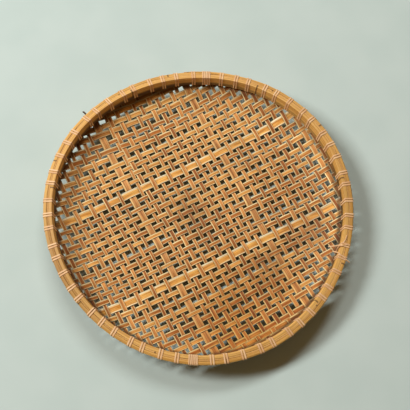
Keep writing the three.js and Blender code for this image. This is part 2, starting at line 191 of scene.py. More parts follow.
class Value:
    """An output of a finish's nodes, to be used in sums."""

    def __init__(self, finish, socket):
        self.finish = finish
        self.socket = socket

    def math(self, operation, *others):
        inputs = dict(enumerate((self, *others)))
        return self.finish.add("ShaderNodeMath", {"operation": operation}, inputs)

    def __add__(self, other):
        return self.math("ADD", other)

    def __sub__(self, other):
        return self.math("SUBTRACT", other)

    def __rsub__(self, other):
        return self * -1 + other

    def __mul__(self, other):
        return self.math("MULTIPLY", other)

    def __truediv__(self, other):
        return self.math("DIVIDE", other)

    __radd__ = __add__
    __rmul__ = __mul__

    def ramp(self, start, end):
        """0 up to `start`, 1 from `end` on, and a smooth rise between. `end` may be the lower."""
        settings = {"interpolation_type": "SMOOTHSTEP"}
        inputs = {"Value": self, "From Min": start, "From Max": end}
        return self.finish.add("ShaderNodeMapRange", settings, inputs)


class Finish:
    """A material under way."""

    def __init__(self, name):
        self.material = bpy.data.materials.new(name)
        self.material.use_nodes = True
        self.tree = self.material.node_tree
        self.shader = self.tree.nodes["Principled BSDF"]

    def add(self, kind, settings=None, inputs=None, output=0):
        """A new node with these settings and inputs, as the value of one of its outputs."""
        node = self.tree.nodes.new(kind)
        for name, value in (settings or {}).items():
            setattr(node, name, value)
        for name, value in (inputs or {}).items():
            self.feed(node.inputs[name], value)
        return Value(self, node.outputs[output])

    def feed(self, socket, value):
        if isinstance(value, Value):
            self.tree.links.new(value.socket, socket)
        else:
            socket.default_value = value

    def set(self, **sockets):
        for name, value in sockets.items():
            self.feed(self.shader.inputs[name.replace("_", " ")], value)

    def written(self, name):
        """A number that the mesh carries at each of its points."""
        return self.add("ShaderNodeAttribute", {"attribute_name": name}, output="Fac")

    def vector(self, x, y, z):
        return self.add("ShaderNodeCombineXYZ", inputs={"X": x, "Y": y, "Z": z})

    def noise(self, vector, scale=1.0, detail=2.0):
        inputs = {"Vector": vector, "Scale": scale, "Detail": detail}
        return self.add("ShaderNodeTexNoise", None, inputs, "Fac")

    def mix(self, share, first, second, blend="MIX"):
        """The first colour, turned into the second by `share`.

        Mix has sockets for numbers, vectors and colours, so those for colours go by place.
        """
        settings = {"data_type": "RGBA", "blend_type": blend}
        return self.add("ShaderNodeMix", settings, {0: share, 6: first, 7: second}, 2)

    def near_to(self, places, blur):
        """1 at the middles of these places and 0 from their radii on: rows of x, y, radius."""
        ground = self.add("ShaderNodeTexCoord", output="Object")
        most = 0.0
        for x, y, radius in places:
            settings = {"operation": "DISTANCE"}
            away = self.add("ShaderNodeVectorMath", settings, {0: ground, 1: (x, y, 0)}, "Value")
            most = (away + blur).ramp(radius, 0.0).math("MAXIMUM", most)
        return most

    def grey(self, value):
        return self.add("ShaderNodeCombineColor", None, {0: value, 1: value, 2: value})

    def bump(self, height, distance):
        inputs = {"Height": height, "Distance": distance, "Strength": 1.0}
        self.set(Normal=self.add("ShaderNodeBump", None, inputs))


print("a pale grey-green of the screen:", [round(c, 2) for c in colour(206, 216, 212)])

# %% [markdown]
# ## Floor and light
#
# The floor is plain and a pale grey-green. Far out it curves up into a wall all round, as a
# studio backdrop does, so that a low view has no hard edge behind the tray.
# A soft lamp from the left of the picture lights the right wall of the rim, leaves the left one
# dark and lays the shadow to the right. A weaker one, high over the top of the picture, lightens
# that shadow, and an even sky fills the rest.
# The floor lies a little lower than the tray, so the light that falls through the weave lands
# on it a little further on. Both lamps stand where those spots mostly lie under a splint, and
# their long sides lie along one set of splints. So most gaps look dark, as in the photo.

# %% Floor and light
FLOOR_DROP = 0.0093
FLOOR_FLAT, BACKDROP_BEND = 5.0, 2.5  # radius of the flat floor, and of the curve round it
BACKDROP_SIDES, BACKDROP_STEPS = 96, 10
LAMP_DISTANCE = 6.0
LAMP_COLOUR = (1.0, 0.995, 0.975)
LAMPS = {  # direction round the tray and height over the floor in degrees, width and power
    "main_lamp": (140, 46, 2.4, 276.0),
    "fill_lamp": (62, 55, 3.2, 145.0),
}
LAMP_DEPTH = 1.0  # the short side of both
SKY_COLOUR, SKY_STRENGTH = colour(255, 188, 108), 0.13

floor_points = []
floor_faces = [tuple(range(BACKDROP_SIDES))]
for step, curl in enumerate(np.radians(np.arange(BACKDROP_STEPS + 1) * 90 / BACKDROP_STEPS)):
    radius = FLOOR_FLAT + BACKDROP_BEND * np.sin(curl)
    height = BACKDROP_BEND * (1 - np.cos(curl)) - FLOOR_DROP
    for side in range(BACKDROP_SIDES):
        turn = 2 * np.pi * side / BACKDROP_SIDES
        floor_points.append((radius * np.cos(turn), radius * np.sin(turn), height))
        if step:
            here, beside = (step * BACKDROP_SIDES + s % BACKDROP_SIDES for s in (side, side + 1))
            floor_faces.append((here, beside, beside - BACKDROP_SIDES, here - BACKDROP_SIDES))
floor_mesh = bpy.data.meshes.new("floor")
floor_mesh.from_pydata(floor_points, [], floor_faces)
floor_mesh.polygons.foreach_set("use_smooth", [True] * len(floor_faces))
floor = bpy.data.objects.new("floor", floor_mesh)
bpy.context.scene.collection.objects.link(floor)
floor_paint = Finish("floor_paint")
floor_place = floor_paint.add("ShaderNodeTexCoord", output="Object")
floor_cloud = floor_paint.noise(floor_place, 6.0).ramp(0.3, 0.7)
floor_paint.set(
    Base_Color=floor_paint.mix(floor_cloud, colour(192, 209, 205), colour(197, 213, 209)),
    Roughness=0.9,
)
floor_mesh.materials.append(floor_paint.material)

for name, (direction, height, width, power) in LAMPS.items():
    direction, height = np.radians(direction), np.radians(height)
    level = np.cos(height)
    towards_lamp = Vector(
        (level * np.cos(direction), level * np.sin(direction), np.sin(height))
    )
    lamp = bpy.data.objects.new(name, bpy.data.lights.new(name, "AREA"))
    lamp.data.shape = "RECTANGLE"
    lamp.data.size, lamp.data.size_y = width, LAMP_DEPTH
    lamp.data.energy = power
    lamp.data.color = LAMP_COLOUR
    lamp.location = LAMP_DISTANCE * towards_lamp
    long_side = Vector((1, 0, 0)) - towards_lamp.x * towards_lamp
    long_side.normalize()
    lamp_axes = Matrix((long_side, towards_lamp.cross(long_side), towards_lamp)).transposed()
    lamp.rotation_euler = lamp_axes.to_euler()
    bpy.context.scene.collection.objects.link(lamp)
    print(name, "at", [round(v, 2) for v in lamp.location])

sky = bpy.data.worlds.new("sky")
sky.use_nodes = True
sky.node_tree.nodes["Background"].inputs["Color"].default_value = SKY_COLOUR
sky.node_tree.nodes["Background"].inputs["Strength"].default_value = SKY_STRENGTH
bpy.context.scene.world = sky
bpy.context.scene.view_settings.view_transform = "Standard"

# %% [markdown]
# ## Meshes from rings
#
# Every piece of this tray is long and thin, so one helper is enough: it joins rings of points
# into a closed strip, and collects many strips in one mesh. It also writes numbers on the
# points, such as how far along the splint they lie, so that a finish can follow the grain
# of each splint instead of the axes of the room.

# %% Strips
class Strips:
    """Strips that become one mesh. Each is an array of rings: station, corner, x y z."""

    def __init__(self):
        self.points = []
        self.faces = []
        self.written = {}
        self.count = 0

    def add(self, rings, joined=False, **written):
        """Adds a strip, shut at both ends or joined to itself, and what to write on its points."""
        stations, corners = rings.shape[:2]
        number = self.count + np.arange(stations * corners).reshape(stations, corners)
        ahead = np.roll(number, -1, axis=0)
        if not joined:
            self.faces.append(number[0][::-1].tolist())
            self.faces.append(number[-1].tolist())
            number, ahead = number[:-1], ahead[:-1]
        beside, ahead_beside = np.roll(number, -1, axis=1), np.roll(ahead, -1, axis=1)
        quads = np.stack([number, beside, ahead_beside, ahead], axis=-1)
        self.faces.extend(quads.reshape(-1, 4).tolist())
        self.points.append(rings.reshape(-1, 3))
        for name, values in written.items():
            values = np.broadcast_to(values, (stations, corners)).ravel()
            self.written.setdefault(name, []).append(values)
        self.count += stations * corners

    def make(self, name, finish, slot, *nodes, sharp=35):
        """The mesh object, riding on the tray in place of these solids."""
        mesh = bpy.data.meshes.new(name)
        mesh.from_pydata(np.concatenate(self.points).tolist(), [], self.faces)
        for attribute, values in self.written.items():
            layer = mesh.attributes.new(attribute, "FLOAT", "POINT")
            layer.data.foreach_set("value", np.concatenate(values).astype(np.float32))
        mesh.polygons.foreach_set("use_smooth", [True] * len(mesh.polygons))
        mesh.set_sharp_from_angle(angle=np.radians(sharp))
        mesh.materials.append(finish.material)
        piece = bpy.data.objects.new(name, mesh)
        bpy.context.scene.collection.objects.link(piece)
        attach(piece, "root")
        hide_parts(*nodes)
        print(name, "has", len(mesh.polygons), "faces")


# %% [markdown]
# ## The shape of the mat
#
# In the middle the mat lies flat. Further out it climbs, and at the foot of the rim it turns up
# between the hoops. A splint can't be folded sharply, so the turn is a short curve. A point of
# the mat is given by its place on the ground, how far it is up the wall, and its level over the
# middle of the mat, square to it.

# %% Mat surface
def straight_profile(reach):
    """Radius and height of the mat, `reach` past the foot of the rim, with a sharp bend there."""
    inside, up = np.minimum(reach, 0), np.maximum(reach, 0)
    climb = np.clip((FOOT_RADIUS + inside - REST_RADIUS) / (FOOT_RADIUS - REST_RADIUS), 0, 1)
    radius = FOOT_RADIUS + inside + up * np.sin(LEAN)
    height = MAT_THICKNESS / 2 + DISH_DEPTH * climb**DISH_POWER + up * np.cos(LEAN)
    return np.array([radius, height])


def mat_profile(reach):
    """The same with the bend rounded off."""
    t = np.clip((reach + FOOT_BEND) / (2 * FOOT_BEND), 0, 1)
    start, foot, end = (straight_profile(at)[:, None, None] for at in (-FOOT_BEND, 0, FOOT_BEND))
    curve = (1 - t) ** 2 * start + 2 * t * (1 - t) * foot + t**2 * end
    return np.where(np.abs(reach) < FOOT_BEND, curve, straight_profile(reach))


def mat_points(x, y, wall, level):
    """Points of the round tray's mat. All four are arrays of station by corner."""
    distance = np.maximum(np.hypot(x, y), 1e-6)
    reach = distance - FOOT_RADIUS + wall
    radius, height = mat_profile(reach)
    turned = np.clip((reach + FOOT_BEND) / (2 * FOOT_BEND), 0, 1)
    inward, upward = turned * np.cos(LEAN), 1 - turned + turned * np.sin(LEAN)
    square = np.hypot(inward, upward)
    radius = radius - level * inward / square
    height = height + level * upward / square
    return np.stack([x / distance * radius, y / distance * radius, height], axis=-1)


print("height of the mat half way out:", round(float(straight_profile(-0.07)[1]), 4), "m")

# %% [markdown]
# ## How the splints lie
#
# Splints split and laid by hand wander: each is a little wider or narrower, a little off its
# place, and not quite straight. Two of the wide ones lie plainly askew, and their neighbours
# lean with them. The last ones along X are wider and were pushed tight against the rim, most
# of all at the near side.
# Each set is listed once here, and the other set asks it where it crosses.

# %% Splints
PLACE_WANDER, TILT_WANDER, SWAY, WIDTH_WANDER = 0.0021, 0.0034, 0.0013, 0.19
HELD_WANDER = 0.3  # a wide, crowded or outermost splint wanders only this share
SWAY_RATE = 13  # radians of the sway for each metre along a splint
EDGE_OFFSET = 0.3525  # the outermost splints still fit inside the rim
LEAN_SHARED = {0: 1.0, 1: 0.75, 2: 0.4, 3: 0.15}  # by how many places away a neighbour lies
CROWDED_X = {-17: -0.3525, -16: -0.3395, -15: -0.3265, 16: 0.3420, 17: 0.3525}  # offsets
CROWDED_WIDTH = 0.0126


@dataclass
class Splint:
    number: int
    width: float
    offset: float  # of its middle from the middle of the tray
    tilt: float  # how far its far end lies to the side, and its near end the other way
    sway: float
    phase: float
    tone: float

    def middle(self, place):
        swayed = self.sway * np.sin(SWAY_RATE * place + self.phase)
        return self.offset + self.tilt * place / FOOT_RADIUS + swayed


def drawn_offset(number, wide_width):
    """Where the splint of this number was drawn, counted from the middle of the tray."""
    count = abs(number)
    if count < WIDE_NUMBER:
        return number * PLAIN_PITCH
    step = (PLAIN_WIDTH + wide_width) / 2 + WIDE_GAP
    wide_offset = (WIDE_NUMBER - 1) * PLAIN_PITCH + step
    if count == WIDE_NUMBER:
        return np.sign(number) * wide_offset
    return np.sign(number) * (wide_offset + step + (count - WIDE_NUMBER - 1) * PLAIN_PITCH)


def lay_set(plain_width, wide_width, wide_tilts, crowded):
    """One set of splints. `wide_tilts` gives the tilt of the wide splint on each side, and
    `crowded` the offsets of those that were pushed against the rim.
    """
    splints = []
    for number in range(-LAST_NUMBER, LAST_NUMBER + 1):
        wide = abs(number) == WIDE_NUMBER
        tilt = sum(
            wide_tilt * LEAN_SHARED.get(abs(number - side * WIDE_NUMBER), 0)
            for side, wide_tilt in wide_tilts.items()
        )
        own_width = plain_width * (1 + dice.uniform(-1, 1) * WIDTH_WANDER)
        width = wide_width if wide else own_width
        held = wide or number in crowded or abs(number) == LAST_NUMBER
        wander = HELD_WANDER if held else 1.0
        offset = drawn_offset(number, wide_width)
        offset += dice.gauss(0, 0.6) * PLACE_WANDER * wander
        if number in crowded:
            width, offset = CROWDED_WIDTH, crowded[number]
        splints.append(
            Splint(
                number=number,
                width=width,
                offset=float(np.clip(offset, -EDGE_OFFSET, EDGE_OFFSET)),
                tilt=tilt + dice.uniform(-1, 1) * TILT_WANDER * wander,
                sway=dice.uniform(0.3, 1) * SWAY * wander,
                phase=dice.uniform(0, 6.28),
                tone=dice.random(),
            )
        )
    return splints


splints_x = lay_set(PLAIN_WIDTH_X, WIDE_WIDTH_X, {-1: -0.0080, 1: 0.0012}, CROWDED_X)
splints_y = lay_set(PLAIN_WIDTH_Y, WIDE_WIDTH_Y, {-1: -0.0010, 1: 0.0045}, {})
print(len(splints_x), "splints along X and", len(splints_y), "along Y")

# %% [markdown]
# ## Weaving
#
# The weave could be one sheet with holes cut in it and a pattern drawn on, but then the splints
# would have no sides where the light catches them. Here every splint is its own strip that
# rises over one neighbour and dives under the next. It stays high as long as it lies on the
# crossing splint and swings through in the gap, as stiff bamboo does. Its section is slightly
# hollow, because bamboo curls away from its skin as it dries.

# %% Weave
STATION, FEWEST_STATIONS = 0.0046, 10
WALL_STATIONS = np.array([0.002, 0.004, 0.007, 0.013, 0.020, 0.0275])  # up the wall
WALL_BLEND = 0.012  # the wave dies away over this length before the foot of the rim
WALL_LEVEL = 0.62  # and in the wall each set keeps to its side, this share of the swing
WEAVE_LIFT = 0.0002  # the weave is a little thicker than drawn, so its middle lies higher
PRESSED = 0.12  # the splints crowd where the mat climbs, which shows as wider splints
OVER_SHARE = 0.27  # part of a crossing's count that is used up on each half of the splint there
HOLLOW_LEVEL = 0.35  # about the mean of across squared, so a hollow splint keeps its level

# Corners of a splint's section: across, from -1 to 1, and level, from -1 to 1.
SECTION = np.array(
    [(-0.93, 1), (-0.45, 1), (0.45, 1), (0.93, 1), (1, 0), (0.9, -1), (-0.9, -1), (-1, 0)]
)[::-1]


def crossing_count(place, crossed, offset):
    """Number of the crossing that a splint is at, growing smoothly from one to the next."""
    knots, counts = [], []
    for splint in crossed:
        middle = splint.middle(offset)
        knots += [middle - splint.width / 2, middle + splint.width / 2]
        counts += [splint.number - OVER_SHARE, splint.number + OVER_SHARE]
    return np.interp(place, knots, counts)


def weave_splint(strips, splint, crossed, along_x, thickness, swing, hollow):
    """Adds one splint of a set that crosses the other set."""
    across, layer = SECTION[:, 0][None, :], SECTION[:, 1][None, :]
    ends = {}
    for end in (-1, 1):
        edge = splint.middle(end * np.sqrt(FOOT_RADIUS**2 - splint.offset**2))
        ends[end] = np.sqrt(FOOT_RADIUS**2 - (edge + across * splint.width / 2) ** 2)
    steps = max(FEWEST_STATIONS, int(ends[1].mean() * 2 / STATION))
    edge_share = np.ones(len(WALL_STATIONS))
    share = np.concatenate([-edge_share, np.linspace(-1, 1, steps), edge_share])[:, None]
    wall = np.concatenate([WALL_STATIONS[::-1], np.zeros(steps), WALL_STATIONS])[:, None]
    place = np.where(share < 0, share * ends[-1], share * ends[1])
    middle = splint.middle(place)
    climb = np.clip((np.hypot(place, middle) - REST_RADIUS) / (FOOT_RADIUS - REST_RADIUS), 0, 1)
    side = middle + across * splint.width / 2 * (1 + PRESSED * climb)

    count = splint.number + crossing_count(place, crossed, splint.offset)
    wave = np.cos(np.pi * count)
    high = wave if along_x else -wave
    reach = np.hypot(place, side) - FOOT_RADIUS + wall
    in_wall = np.clip((reach + WALL_BLEND) / WALL_BLEND, 0, 1)
    resting = WALL_LEVEL if along_x else -WALL_LEVEL
    level = WEAVE_LIFT * (1 - in_wall) + swing * (high * (1 - in_wall) + resting * in_wall)
    level = level + hollow * (across**2 - HOLLOW_LEVEL) * (1 - in_wall) + layer * thickness / 2

    x, y = (place, side) if along_x else (side, place)
    rings = mat_points(x, y, wall + 0 * place, level)
    order = 1 if along_x else -1  # the way round that makes the faces look out
    strips.add(
        in_place(rings)[:, ::order],
        across=across[:, ::order],
        along=place + np.sign(share) * wall,
        weave=count + (0 if along_x else 1),
        tone=splint.tone,
        upper=np.clip(layer, 0, 1)[:, ::order],
        reach=reach[:, ::order],
    )


print("a splint's section has", len(SECTION), "corners")

# %% [markdown]
# ## The finish of a splint
#
# Split bamboo has no bark and no rings. It is straight fibres, golden to reddish brown on the
# face, pale, almost cream, along both cut edges, with fine darker lines running its whole
# length, and it is stained here and there. Painted light is added on top: a paler painted
# highlight on the edge towards the lamps, and painted shade in the middle of the hollow face,
# where the splint dives under its neighbours, on its sides and bottom face, nearly black in
# the corner below the rim, and a little all over towards the near side.
# All of this is driven by the numbers written on the mesh, so the lines follow each splint.

# %% Splint finish
# Painted shade: darker where a splint dives under its neighbour, and on its sides and bottom face.
CREASE_SHADE_END, CREASE_SHADE_DEPTH = 0.40, 0.38
CREASE_SHADE_BROWN, UNDERSIDE_SHADE_BROWN = colour(60, 30, 8), colour(78, 42, 12)
# The stains are real; the other two colours are painted shade, in the corner below the rim and
# towards the near side.
STAIN_BROWN, CORNER_SHADE_BROWN, NEAR_SHADE_TINT = colour(112, 70, 44), colour(52, 26, 6), colour(216, 196, 158)
STAINS = [(-0.0210, 0.0170, 0.085), (0.2100, -0.1600, 0.095), (0.0900, -0.1900, 0.080)]
# Where the painted shade of the near side lies.
NEAR_SIDE_SHADE = [(-0.0400, -0.3600, 0.340)]
LIT_RIGHT_SIDE = [(0.3200, 0.1300, 0.300)]  # at the right the rim is lit from the left, so its painted shade is lighter there


def splint_finish(name, pale, face, deep, highlit_side, gloss):
    finish = Finish(name)
    across, along = finish.written("across"), finish.written("along")
    tone, weave = finish.written("tone"), finish.written("weave")
    place = finish.add("ShaderNodeTexCoord", output="Object")

    seed = tone * 37.0
    fibres = finish.noise(finish.vector(along * 9.0, across * 7.0, seed), 1.0, 4.0)
    streaks = finish.noise(finish.vector(along * 30.0, across * 1.6, seed + 5.0), 1.0, 3.0)
    clouds = finish.noise(place, 7.0, 2.0)

    tone_and_shade = (streaks - 0.5) * 2.2 + (tone - 0.5) * 1.1 + (clouds - 0.5) * 1.4
    from_dive = (weave - 2 * (weave / 2).math("FLOOR") - 1).math("ABSOLUTE")
    # Painted shade: a little darker towards where the splint dives.
    tone_and_shade = tone_and_shade + from_dive.ramp(0.6, 0.25) * 0.2
    # Painted shade: darker in the middle of the hollow face.
    hollow = across.math("ABSOLUTE").ramp(0.6, 0.1) * (0.35 + 0.65 * streaks.ramp(0.35, 0.65))
    body = finish.mix(tone_and_shade.ramp(-0.55, 0.75) + hollow * 0.3, face, deep)

    # Both cut edges are pale; the one on the lamps' side gets a stronger painted highlight.
    highlit_edge = (across * highlit_side).ramp(0.35, 0.85)
    lower_edge = (across * -highlit_side).ramp(0.55, 0.9) * 0.7
    edge = (highlit_edge + lower_edge) * (0.6 + 0.6 * fibres.ramp(0.25, 0.6))
    body = finish.mix(edge, body, pale)

    lines = finish.grey(0.56 + 0.68 * fibres.ramp(0.3, 0.7))
    body = finish.mix(1.0, body, lines, "MULTIPLY")
    # Painted shade where the splint dives under its neighbour.
    crease_shade = from_dive.ramp(CREASE_SHADE_END, OVER_SHARE) * CREASE_SHADE_DEPTH
    body = finish.mix(crease_shade, body, CREASE_SHADE_BROWN)
    # Painted shade on the sides and bottom face of the splint.
    underside_shade = finish.written("upper").ramp(0.9, 0.1) * 0.75
    body = finish.mix(underside_shade, body, UNDERSIDE_SHADE_BROWN)

    spread = finish.noise(place, 28.0, 3.0)
    stain = finish.near_to(STAINS, (spread - 0.5) * 0.12)
    body = finish.mix(stain * 0.4, body, STAIN_BROWN)
    # Painted shade: a little darker towards the near side.
    near_side_shade = finish.near_to(NEAR_SIDE_SHADE, (clouds - 0.5) * 0.2)
    body = finish.mix(near_side_shade, body, NEAR_SHADE_TINT, "MULTIPLY")
    # Painted shade, nearly black, in the corner below the rim, lighter at the lit right side.
    corner_shade = (finish.written("reach") + (spread - 0.5) * 0.014).ramp(-0.022, -0.013)
    lit_side = finish.near_to(LIT_RIGHT_SIDE, (spread - 0.5) * 0.1)
    body = finish.mix(corner_shade * (0.7 - 0.5 * lit_side), body, CORNER_SHADE_BROWN)

    finish.set(Base_Color=body, Roughness=0.72 - gloss + 0.25 * fibres, Specular_IOR_Level=0.25)
    finish.bump(fibres, 0.0006)
    return finish


cream_splint = splint_finish(
    "cream_splint", colour(255, 236, 182), colour(241, 176, 92), colour(182, 108, 42), 1.0, 0.2
)
brown_splint = splint_finish(
    "brown_splint", colour(255, 228, 166), colour(231, 159, 86), colour(160, 92, 38), -1.0, 0.2
)
print("a splint's finish has", len(cream_splint.tree.nodes), "nodes")

# %% [markdown]
# ## The plain splints
#
# Thirty-three of each set are plain: thin, and hardly hollow. Each could be an object of its
# own, but one object for each set is easier to handle. Each splint still has its own grain,
# because its numbers are written on its own points. Both objects together replace the solid mat.

# %% Plain splints of both sets
PLAIN_THICKNESS, PLAIN_SWING, PLAIN_HOLLOW = 0.0010, 0.0013, 0.0003

for along_x, own, crossed, finish in (
    (True, splints_x, splints_y, cream_splint),
    (False, splints_y, splints_x, brown_splint),
):
    strips = Strips()
    for splint in own:
        if abs(splint.number) != WIDE_NUMBER:
            weave_splint(
                strips, splint, crossed, along_x, PLAIN_THICKNESS, PLAIN_SWING, PLAIN_HOLLOW
            )
    name = "plain_splints_along_x" if along_x else "plain_splints_along_y"
    strips.make(name, finish, "mat_splints", "woven_mat")

# %% [markdown]
# ## The four wide splints
#
# They are split from a thicker stalk, so they curl more and hold a hollow between two pale
# lips, the one towards the lamps paler still as painted highlight. The pair along X is golden
# and glossy, its upper lip broad and almost white, partly by that painted highlight. The pair
# along Y is duller and pinker.

# %% Wide splints
WIDE_THICKNESS, WIDE_SWING, WIDE_HOLLOW = 0.0018, 0.0011, 0.0008

golden_wide = splint_finish(
    "golden_wide_splint", colour(255, 244, 204), colour(255, 196, 100), colour(216, 144, 56), 1.0,
    0.36,
)
pink_wide = splint_finish(
    "pink_wide_splint", colour(252, 212, 144), colour(222, 158, 92), colour(166, 104, 50), -1.0,
    0.25,
)
for node, along_x, number in (
    ("wide_splint_x_front", True, -WIDE_NUMBER),
    ("wide_splint_x_rear", True, WIDE_NUMBER),
    ("wide_splint_y_left", False, -WIDE_NUMBER),
    ("wide_splint_y_right", False, WIDE_NUMBER),
):
    own, crossed = (splints_x, splints_y) if along_x else (splints_y, splints_x)
    splint = own[number + LAST_NUMBER]
    strips = Strips()
    weave_splint(strips, splint, crossed, along_x, WIDE_THICKNESS, WIDE_SWING, WIDE_HOLLOW)
    finish = golden_wide if along_x else pink_wide
    slot = "wide_splints_x" if along_x else "wide_splints_y"
    strips.make(node + "_splint", finish, slot, node)

# %% [markdown]
# ## The two hoops
#
# Each hoop is a heavy split strip, bent round until its two thinned ends lap over each other.
# A ring swept round the tray would have no ends, so the strip is swept a little further than a
# full turn, and where it meets itself each end takes its share of the thickness. Its corners
# are rounded and its faces swell and shrink a little, as a hand-split strip does.

# %% Hoops
HOOP_STATIONS = 264
HOOP_TIP = 0.12  # thickness of a thinned end at its tip, as a share of the hoop
OUTER_ROUND, INNER_ROUND, SEAM_ROUND = 0.0036, 0.0014, 0.0005  # of the top corners
ROUND_ROOM, LEAST_ROUND = 0.85, 0.0001  # the first is the share of a face that they may take
ROUND_STEPS = 4
SWELL, SWELL_WAVES, FACE_SWELL = 0.00028, 5, 0.6  # the last as a share of the first


def rounded_section(low, high, foot, top, low_round, high_round):
    """Corners of a hoop's section as rows of (out, up), with its two top corners rounded."""
    corners = [(low, foot), (high, foot)]
    for middle, radius, start in ((high, high_round, 0), (low, low_round, 90)):
        side = 1 if middle == high else -1
        for i in range(ROUND_STEPS + 1):
            angle = np.radians(start + 90 * i / ROUND_STEPS)
            out = middle - side * radius + radius * np.cos(angle)
            corners.append((out, top - radius + radius * np.sin(angle)))
    return np.array(corners)


def hoop_rounds(outer, thickness):
    """Radii of the two top corners, as large as the thickness allows."""
    room = ROUND_ROOM * thickness
    face_round = min(OUTER_ROUND if outer else INNER_ROUND, room)
    seam_round = min(SEAM_ROUND, room - face_round + LEAST_ROUND)
    return (seam_round, face_round) if outer else (face_round, seam_round)


def hoop_strips(low, high, joint, seed):
    """A bent strip between two faces, with a lap at `joint` degrees."""
    luck = random.Random(seed)
    waves = [
        (luck.randint(3, 17), luck.uniform(0, 6.28), luck.uniform(0.3, 1))
        for _ in range(SWELL_WAVES)
    ]
    full = 360 + HOOP_LAP
    rings, along = [], []
    for i in range(HOOP_STATIONS + 1):
        walked = full * i / HOOP_STATIONS
        turn = np.radians(joint - HOOP_LAP / 2 + walked)
        start = np.clip(walked / HOOP_LAP, 0, 1)
        end = np.clip((full - walked) / HOOP_LAP, 0, 1)
        thickness = high - low
        near = low + thickness * (1 - HOOP_TIP) * (1 - end)
        far = high - thickness * (1 - HOOP_TIP) * (1 - start)
        swell = SWELL * sum(size * np.sin(count * turn + phase) for count, phase, size in waves)
        rounds = hoop_rounds(high > 0, far - near)
        section = rounded_section(near, far, HOOP_FOOT, CROWN + min(swell, 0.0), *rounds)
        swollen = section[:, 0] + np.sign(high) * FACE_SWELL * swell
        rings.append(rim_point(turn, swollen, section[:, 1]))
        along.append(np.radians(walked) * FOOT_RADIUS)
    section = rounded_section(low, high, HOOP_FOOT, CROWN, *hoop_rounds(high > 0, high - low))
    across = (section[:, 0] - low) / (high - low) * 2 - 1
    up = (section[:, 1] - HOOP_FOOT) / (CROWN - HOOP_FOOT)
    strips = Strips()
    strips.add(
        in_place(np.array(rings))[:, ::-1],
        across=across[None, ::-1],
        up=up[None, ::-1],
        along=np.array(along)[:, None],
    )
    return strips


print("a hoop is swept through", HOOP_STATIONS + 1, "rings")

# %% [markdown]
# ## The finish of the hoops
#
# The hoops are the outside of the stalk: yellower, denser and smoother than the splints, with
# long fibres, brown streaks, and a dark ring at each joint of the stalk. Low down they are
# darkened as painted shade, the inner one nearly black-brown, least at the right where the
# lamp lights the wall. At the left and right of the rim they are a little darker too: painted
# shade.

# %% Hoop finish
# Painted shade on the left and right of the rim; the dark rings at the stalk's joints are real.
RIM_SHADE_PLACES = [(-0.380, 0.010, 0.330), (0.345, -0.165, 0.170)]
RIM_SHADE_TINT, RING_BROWN = colour(212, 206, 186), colour(74, 42, 18)


def hoop_finish(name, pale, face, deep, shade, node_spacing, node_shift):
    finish = Finish(name)
    across, along, up = (finish.written(name) for name in ("across", "along", "up"))
    fibres = finish.noise(finish.vector(along * 5.0, across * 5.0, up * 26.0), 1.0, 4.0)
    streaks = finish.noise(finish.vector(along * 2.5, across * 2.2, up * 6.0 + 3.0), 1.0, 3.0)
    patches = finish.noise(finish.vector(along * 11.0, up * 1.5, across * 0.8), 1.0, 3.0)

    body = finish.mix((streaks + (patches - 0.5) * 0.5).ramp(0.34, 0.66), face, deep)
    body = finish.mix(fibres.ramp(0.5, 0.74) * 0.6, body, pale)
    # Painted shade low on the hoop, lighter at the lit right side.
    lit_side = finish.near_to(LIT_RIGHT_SIDE, (patches - 0.5) * 0.1)
    body = finish.mix(up.ramp(0.52, 0.24) * (0.9 - 0.6 * lit_side), body, shade)
    # Painted shade on the left and right of the rim.
    rim_shade = finish.near_to(RIM_SHADE_PLACES, (patches - 0.5) * 0.1)
    body = finish.mix(rim_shade, body, RIM_SHADE_TINT, "MULTIPLY")

    ring = ((along + node_shift) / node_spacing).math("FRACT")
    ring = (ring - 0.5).math("ABSOLUTE") * node_spacing
    ring = ring + (fibres - 0.5) * 0.0012
    body = finish.mix(ring.ramp(0.0024, 0.0008) * 0.8, body, RING_BROWN)

    lines = finish.grey(0.88 + 0.2 * fibres.ramp(0.3, 0.7))
    finish.set(
        Base_Color=finish.mix(1.0, body, lines, "MULTIPLY"), Roughness=0.38 + 0.3 * fibres
    )
    finish.bump(fibres + ring.ramp(0.0032, 0.0012) * 0.8, 0.0008)
    return finish


# The fourth colour of each hoop is its painted shade low down.
outer_bamboo = hoop_finish(
    "outer_hoop_bamboo", colour(252, 210, 128), colour(234, 180, 92), colour(196, 140, 60),
    colour(190, 136, 60), 0.372, 0.030,
)
inner_bamboo = hoop_finish(
    "inner_hoop_bamboo", colour(255, 216, 140), colour(242, 190, 104), colour(206, 150, 70),
    colour(56, 32, 6), 0.338, 0.120,
)
hoop_strips(HOOP_INSIDE, HOOP_OUTSIDE, OUTER_JOINT, 5).make(
    "outer_hoop_strip", outer_bamboo, "hoops", "outer_hoop"
)
hoop_strips(-HOOP_OUTSIDE, -HOOP_INSIDE, INNER_JOINT, 9).make(
    "inner_hoop_strip", inner_bamboo, "hoops", "inner_hoop"
)

# %% [markdown]
# ## The filler strip
#
# A thin pale strip lies on the cut ends of the splints and shuts the gap between the hoops.
# Seen from above it is the bright line in the middle of the rim, with a dark seam each side.

# %% Filler strip
FILLER_WIDTH, FILLER_ROUND, FILLER_STATIONS = 0.0036, 0.0009, 240
FILLER_FOOT, FILLER_TOP = CROWN - FILLER_HEIGHT, CROWN - 0.0004  # a little below the hoops

